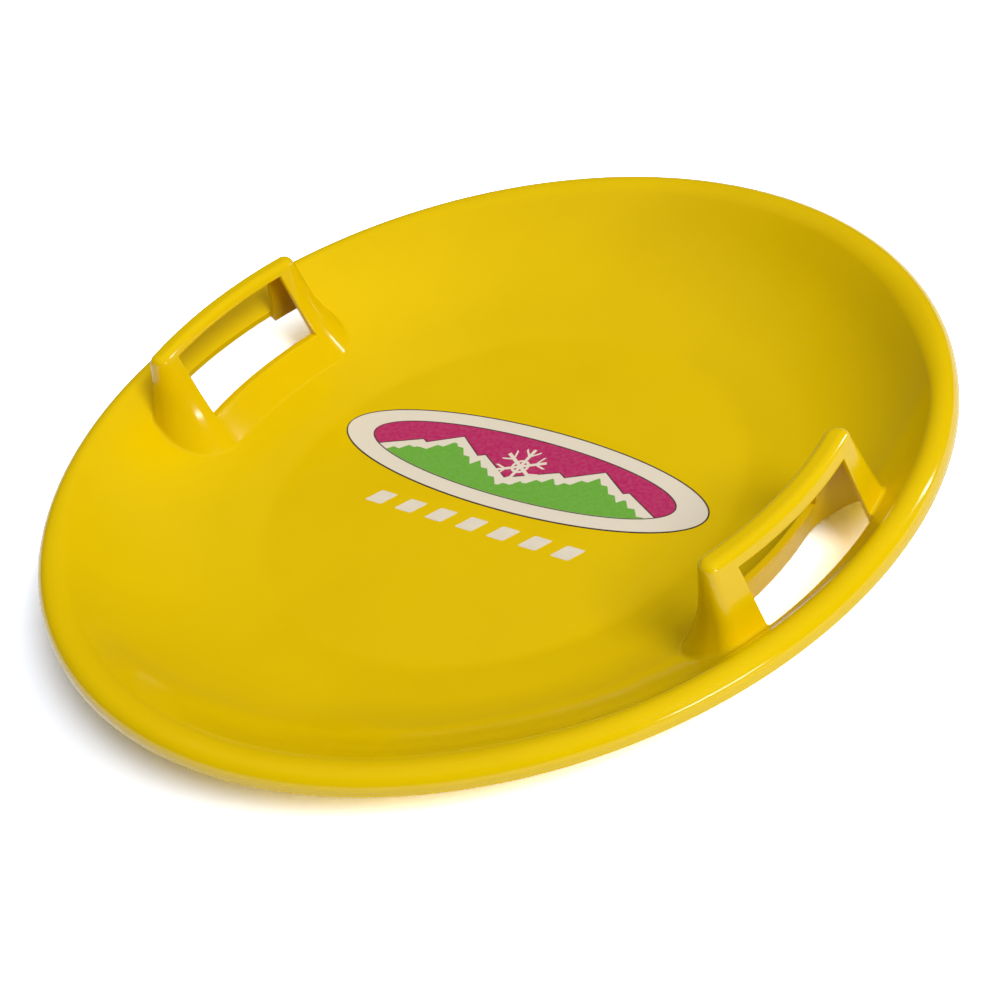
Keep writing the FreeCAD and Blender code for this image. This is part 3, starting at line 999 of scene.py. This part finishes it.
def label_print(finish, film):
    """Oval print: a berry field with leaf-green hills, cream snow and a six-armed flake."""
    material, net = new_material("oval_print")
    # Sizes of the print in millimetres; a hill is its middle, its top and its fall to the sides
    soft, border, line, field_half = 0.25, 1.1, 0.9, (126.0, 29.0)
    hills = (
        (-84, 3, 0.5), (-57, 15, 0.62), (-30, 4, 0.55), (31, 6, 0.5), (61, 17, 0.6), (88, 5, 0.5))
    snow_depth, tooth_width, tooth_depth = 6.5, 5.0, 3.2
    flake_x, flake_y, flake_reach, arm_half = 1.0, 1.5, 18.0, 1.25
    barb_at, barb_half, barb_reach, hub_radius, hub_half = 10.5, 1.0, 6.0, 5.5, 1.0
    sector, millimetre = math.pi / 3, 0.001
    place = net.node("ShaderNodeMapping", {"vector_type": "TEXTURE"}, {
        "Vector": net.node("ShaderNodeTexCoord", None, None, "Object"),
        "Location": (*film.centre, 0), "Rotation": (0, 0, film.turn), "Scale": (millimetre,) * 3})
    x, y, _ = net.split(place)

    def oval(half_length, half_width):
        """Rough distance inside an oval."""
        reach = ((x / half_length) ** 2 + (y / half_width) ** 2) ** 0.5
        slope = ((x / half_length ** 2) ** 2 + (y / half_width ** 2) ** 2) ** 0.5
        return (1 - reach) * reach / slope.highest(1e-5)

    def within(distance, margin=0.0):
        return step(distance, margin, soft)

    edge = oval(film.label_length / 2 / millimetre, film.label_width / 2 / millimetre)
    field = oval(*field_half)
    slopes = [top - abs(x - middle) * fall for middle, top, fall in hills]
    ridge = slopes[0]
    for slope in slopes[1:]:
        ridge = ridge.highest(slope)
    above = ridge - y
    teeth = abs((x / tooth_width).maths("PINGPONG", 1.0)) * tooth_depth
    green = above - (snow_depth + teeth)
    across, up = x - flake_x, y - flake_y
    reach = (across * across + up * up) ** 0.5
    turn = up.maths("ARCTAN2", across)
    fold = abs((turn / sector).maths("FRACT") - 0.5) * sector
    aside, ahead = fold * reach, reach * fold.maths("COSINE")
    arms = within(arm_half - aside) * within(flake_reach - reach)
    barbs = within(barb_half - abs(ahead - aside - barb_at)) * within(barb_reach - aside)
    hub = within(hub_half - abs(reach - hub_radius))
    inside = within(field, line)
    tint = net.blend(within(edge, border), finish.ink, finish.cream)
    for mask, ink in (
            (within(field), finish.ink), (inside, finish.berry), (inside * within(above), finish.ink),
            (inside * within(above, line), finish.cream), (inside * within(green), finish.leaf),
            (inside * arms.highest(barbs).highest(hub), finish.cream)):
        tint = net.blend(mask, tint, ink)
    speckle = step(noise(net, place, scale=0.35, detail=2.0), 0.5, 0.4)
    tint = net.blend(speckle * 0.06, tint, finish.haze)
    skin = noise(net, place, scale=4.0, detail=2.0)
    film_surface(net, finish, tint, 0.34 + (skin - 0.5) * 0.1, skin)
    return material


def dash_print(finish):
    """Cream film with a faintly uneven print."""
    material, net = new_material("dash_print")
    deep, pale = 0.95, 1.03
    place = net.node("ShaderNodeTexCoord", None, None, "Object")
    cloud = noise(net, place, scale=160.0, detail=3.0)
    cream = Vector(finish.cream)
    tint = net.blend(step(cloud, 0.5, 0.3), cream * deep, cream * pale)
    skin = noise(net, place, scale=2600.0, detail=2.0)
    film_surface(net, finish, tint, 0.36 + (cloud - 0.5) * 0.12, skin)
    return material


def plastic_of(scene):
    """The one plastic that every moulded piece shares."""
    return bpy.data.materials.get("moulded_yellow") or yellow_plastic(scene.sled_finish)


class SLED_OT_shell(bpy.types.Operator):
    """Turn the floor, the sloping band, the wall and the rolled rim from their section"""

    bl_idname = "sled.shell"
    bl_label = "Round shell"

    def execute(self, context):
        scene = context.scene
        shape = scene.sled_shape
        kinds = shell_sections(shape)
        tree = turned_shell_tree(shape)
        for name, row, node, cut in (
                ("floor_disc", Section.floor_row, "seat_floor", 0.0),
                ("band_ring", Section.band_row, "sloping_band", 0.0),
                ("wall_ring", Section.wall_row, "side_wall", shape.grip_zone_angle),
                ("rim_roll", Section.rim_row, "rolled_rim", 0.0)):
            sections = {
                kind: (row(section, 0.0), row(section, shape.thickness))
                for kind, section in kinds.items()}
            piece = turned_piece(name, sections, tree, plastic_of(scene), cut)
            settle(piece, "yellow_plastic", node)
        return {"FINISHED"}


class SLED_OT_grips(bpy.types.Operator):
    """Build the hollow grips with their windows"""

    bl_idname = "sled.grips"
    bl_label = "Grips"

    def execute(self, context):
        scene = context.scene
        shape = scene.sled_shape
        form = GripMesh(shape, scene.sled_grip, shell_sections(shape)["firm_"])
        for name, turn, node in (
                ("right_grip", 0, "right_handle"), ("left_grip", math.pi, "left_handle")):
            mesh = form.mesh(name, turn)
            mesh.materials.append(plastic_of(scene))
            settle(new_object(name, mesh), "yellow_plastic", node)
        return {"FINISHED"}


class SLED_OT_label(bpy.types.Operator):
    """Lay the oval printed film on the floor"""

    bl_idname = "sled.label"
    bl_label = "Oval label"

    def execute(self, context):
        scene = context.scene
        film, floor = scene.sled_film, scene.sled_shape.thickness
        steps, top, rounding = 256, film.thickness, film.thickness / 2
        half = Vector((film.label_length, film.label_width)) / 2
        inset = Vector((rounding, rounding))
        rings = ((half, 0.0), (half, top - rounding), (half - inset, top), (half / 2, top))
        turn = Matrix.Rotation(film.turn, 3, "Z")
        middle = Vector((*film.centre, floor))
        build = bmesh.new()
        loops = []
        for reach, height in rings:
            flats = [ray(math.tau * index / steps) * reach for index in range(steps)]
            loops.append([
                build.verts.new(turn @ (flat.to_3d() + UP * height) + middle) for flat in flats])
        for low, high in zip(loops, loops[1:]):
            for index in range(steps):
                after = (index + 1) % steps
                build.faces.new((low[index], low[after], high[after], high[index]))
        build.faces.new(loops[-1])
        build.faces.new(reversed(loops[0]))
        mesh = bpy.data.meshes.new("label_oval")
        bmesh.ops.recalc_face_normals(build, faces=build.faces)
        build.to_mesh(mesh)
        build.free()
        mesh.shade_smooth()
        mesh.set_sharp_from_angle(angle=SHARP_ANGLE)
        mesh.materials.append(label_print(scene.sled_finish, film))
        settle(new_object("label_oval", mesh), "label_film", "oval_label")
        return {"FINISHED"}


class SLED_OT_dashes(bpy.types.Operator):
    """Lay the row of printed dashes below the label"""

    bl_idname = "sled.dashes"
    bl_label = "Dash row"

    def execute(self, context):
        scene = context.scene
        film, floor = scene.sled_film, scene.sled_shape.thickness
        half, lean, rise = film.dash_length / 2, film.dash_slant / 2, film.dash_height / 2
        build = bmesh.new()
        corners = [
            (-half - lean, -rise), (half - lean, -rise), (half + lean, rise), (-half + lean, rise)]
        base = [build.verts.new((*corner, 0)) for corner in corners]
        face = build.faces.new(base)
        raised = bmesh.ops.extrude_face_region(build, geom=[face])["geom"]
        top = [item for item in raised if isinstance(item, bmesh.types.BMVert)]
        bmesh.ops.translate(build, verts=top, vec=UP * film.thickness)
        bmesh.ops.recalc_face_normals(build, faces=build.faces)
        uprights = [
            edge for edge in build.edges if edge.verts[0].co.xy == edge.verts[1].co.xy]
        bmesh.ops.bevel(
            build, geom=uprights, offset=film.dash_corner, segments=4, profile=0.5, affect="EDGES")
        mesh = bpy.data.meshes.new("dash")
        build.to_mesh(mesh)
        build.free()
        piece = new_object("dash_row", mesh)
        first = film.row_shift - film.dash_pitch * (film.dash_count - 1) / 2
        grown(piece, repeated_tree(), {
            "Count": film.dash_count, "Start": (first, -film.row_drop, 0),
            "Pitch": (film.dash_pitch, 0, 0), "Turn": (0, 0, film.turn),
            "Place": (*film.centre, floor), "Material": dash_print(scene.sled_finish)})
        settle(piece, "decal_film", "stripe_decal")
        return {"FINISHED"}


class SLED_OT_stage(bpy.types.Operator):
    """Set up the floor, the light and the camera"""

    bl_idname = "sled.stage"
    bl_label = "Studio"

    def execute(self, context):
        scene = context.scene
        look = scene.sled_stage
        scene.view_settings.view_transform = "Standard"
        self.add_floor(look)
        self.add_light(scene, look)
        self.add_camera(scene, look)
        return {"FINISHED"}

    def add_floor(self, look):
        mesh = bpy.data.meshes.new("studio_floor")
        signs = ((-1, -1), (1, -1), (1, 1), (-1, 1))
        mesh.from_pydata([(x * FLOOR_REACH, y * FLOOR_REACH, 0) for x, y in signs], [], [(0, 1, 2, 3)])
        material, net = new_material("studio_floor")
        path = net.node("ShaderNodeLightPath")
        seen = path.highest(path.output("Is Glossy Ray")).highest(path.output("Is Transmission Ray"))
        x, y, _ = net.split(net.node("ShaderNodeTexCoord", None, None, "Object"))
        # Painted light: on one side of a soft line the camera sees the floor floor_glare times paler,
        # which washes out the sled's shadow there.
        along = x * BRIGHT_SIDE["x"] + y * BRIGHT_SIDE["y"]
        bright_side = step(along, BRIGHT_SIDE["edge"], BRIGHT_SIDE["soft"])
        plain = Vector(look.floor_colour)
        tone = net.blend(seen, plain, plain * look.floor_lift)
        tone = net.blend(path * bright_side, tone, plain * look.floor_glare)
        surface = net.node("ShaderNodeBsdfDiffuse", None, {"Color": tone})
        net.node("ShaderNodeOutputMaterial", None, {"Surface": surface})
        mesh.materials.append(material)
        new_object("studio_floor", mesh)

    def add_light(self, scene, look):
        world = bpy.data.worlds.new("studio")
        scene.world = world
        world.use_nodes = True
        world.node_tree.nodes.clear()
        net = Net(world.node_tree)
        height = net.split(net.node("ShaderNodeTexCoord", None, None, "Generated"))[2]
        overhead = step(height, SKY_EDGE, SKY_SOFT)
        strength = look.horizon + (look.ceiling - look.horizon) * overhead
        seen = net.node("ShaderNodeLightPath")
        strength = strength + (1 - strength) * seen
        sky = net.node("ShaderNodeBackground", None, {"Color": (1, 1, 1, 1), "Strength": strength})
        net.node("ShaderNodeOutputWorld", None, {"Surface": sky})
        for name, sun in SUNS.items():
            lamp = bpy.data.lights.new(name, "SUN")
            lamp.energy, lamp.angle = getattr(look, sun["level"]), math.radians(sun["spread"])
            self.hang(scene, lamp, sun["place"]).visible_glossy = False
        for name, panel in PANELS.items():
            lamp = bpy.data.lights.new(name, "AREA")
            lamp.shape = "RECTANGLE"
            lamp.size, lamp.size_y = panel["width"], panel["height"]
            lamp.energy = look.gleam * math.pi * panel["width"] * panel["height"]
            self.hang(scene, lamp, panel["place"]).visible_diffuse = False

    def hang(self, scene, lamp, place):
        """Put a lamp in its place, turned to the sled."""
        holder = bpy.data.objects.new(lamp.name, lamp)
        holder.location = place
        holder.rotation_euler = (LIT_MIDDLE - Vector(place)).to_track_quat("-Z", "Y").to_euler()
        scene.collection.objects.link(holder)
        return holder

    def add_camera(self, scene, look):
        lens = bpy.data.cameras.new("camera")
        lens.lens, lens.sensor_width, lens.sensor_fit = look.focal, SENSOR_WIDTH, "HORIZONTAL"
        lens.clip_start, lens.clip_end = CLIP_START, CLIP_END
        camera = bpy.data.objects.new("camera", lens)
        axes = CAMERA_RIGHT, CAMERA_UP, CAMERA_RIGHT.cross(CAMERA_UP)
        columns = [(*axis, 0) for axis in axes] + [(*CAMERA_PLACE, 1)]
        camera.matrix_world = Matrix(columns).transposed()
        scene.collection.objects.link(camera)
        scene.camera = camera


class SLED_PT_panel(bpy.types.Panel):
    """Sizes, finishes and build steps of the sled"""

    bl_idname = "SLED_PT_panel"
    bl_label = "Saucer sled"
    bl_space_type = "VIEW_3D"
    bl_region_type = "UI"
    bl_category = "Sled"

    def draw(self, context):
        layout = self.layout
        for operator in OPERATORS:
            layout.operator(operator.bl_idname)
        for name in GROUPS:
            box = layout.box()
            group = getattr(context.scene, name)
            for key in group.bl_rna.properties.keys():
                if key not in ("rna_type", "name"):
                    box.prop(group, key)


OPERATORS = (SLED_OT_shell, SLED_OT_grips, SLED_OT_label, SLED_OT_dashes, SLED_OT_stage)
GROUPS = {
    "sled_shape": SledShape, "sled_grip": GripShape, "sled_film": FilmShape,
    "sled_finish": SledFinish, "sled_stage": StageLook}


def register():
    for name, group in GROUPS.items():
        bpy.utils.register_class(group)
        setattr(bpy.types.Scene, name, bpy.props.PointerProperty(type=group))
    for item in (*OPERATORS, SLED_PT_panel):
        bpy.utils.register_class(item)


def unregister():
    for item in reversed((*OPERATORS, SLED_PT_panel)):
        bpy.utils.unregister_class(item)
    for name, group in reversed(GROUPS.items()):
        delattr(bpy.types.Scene, name)
        bpy.utils.unregister_class(group)


def main():
    register()
    bpy.ops.sled.shell()
    bpy.ops.sled.grips()
    bpy.ops.sled.label()
    bpy.ops.sled.dashes()
    bpy.ops.sled.stage()


if __name__ == "__main__":
    main()
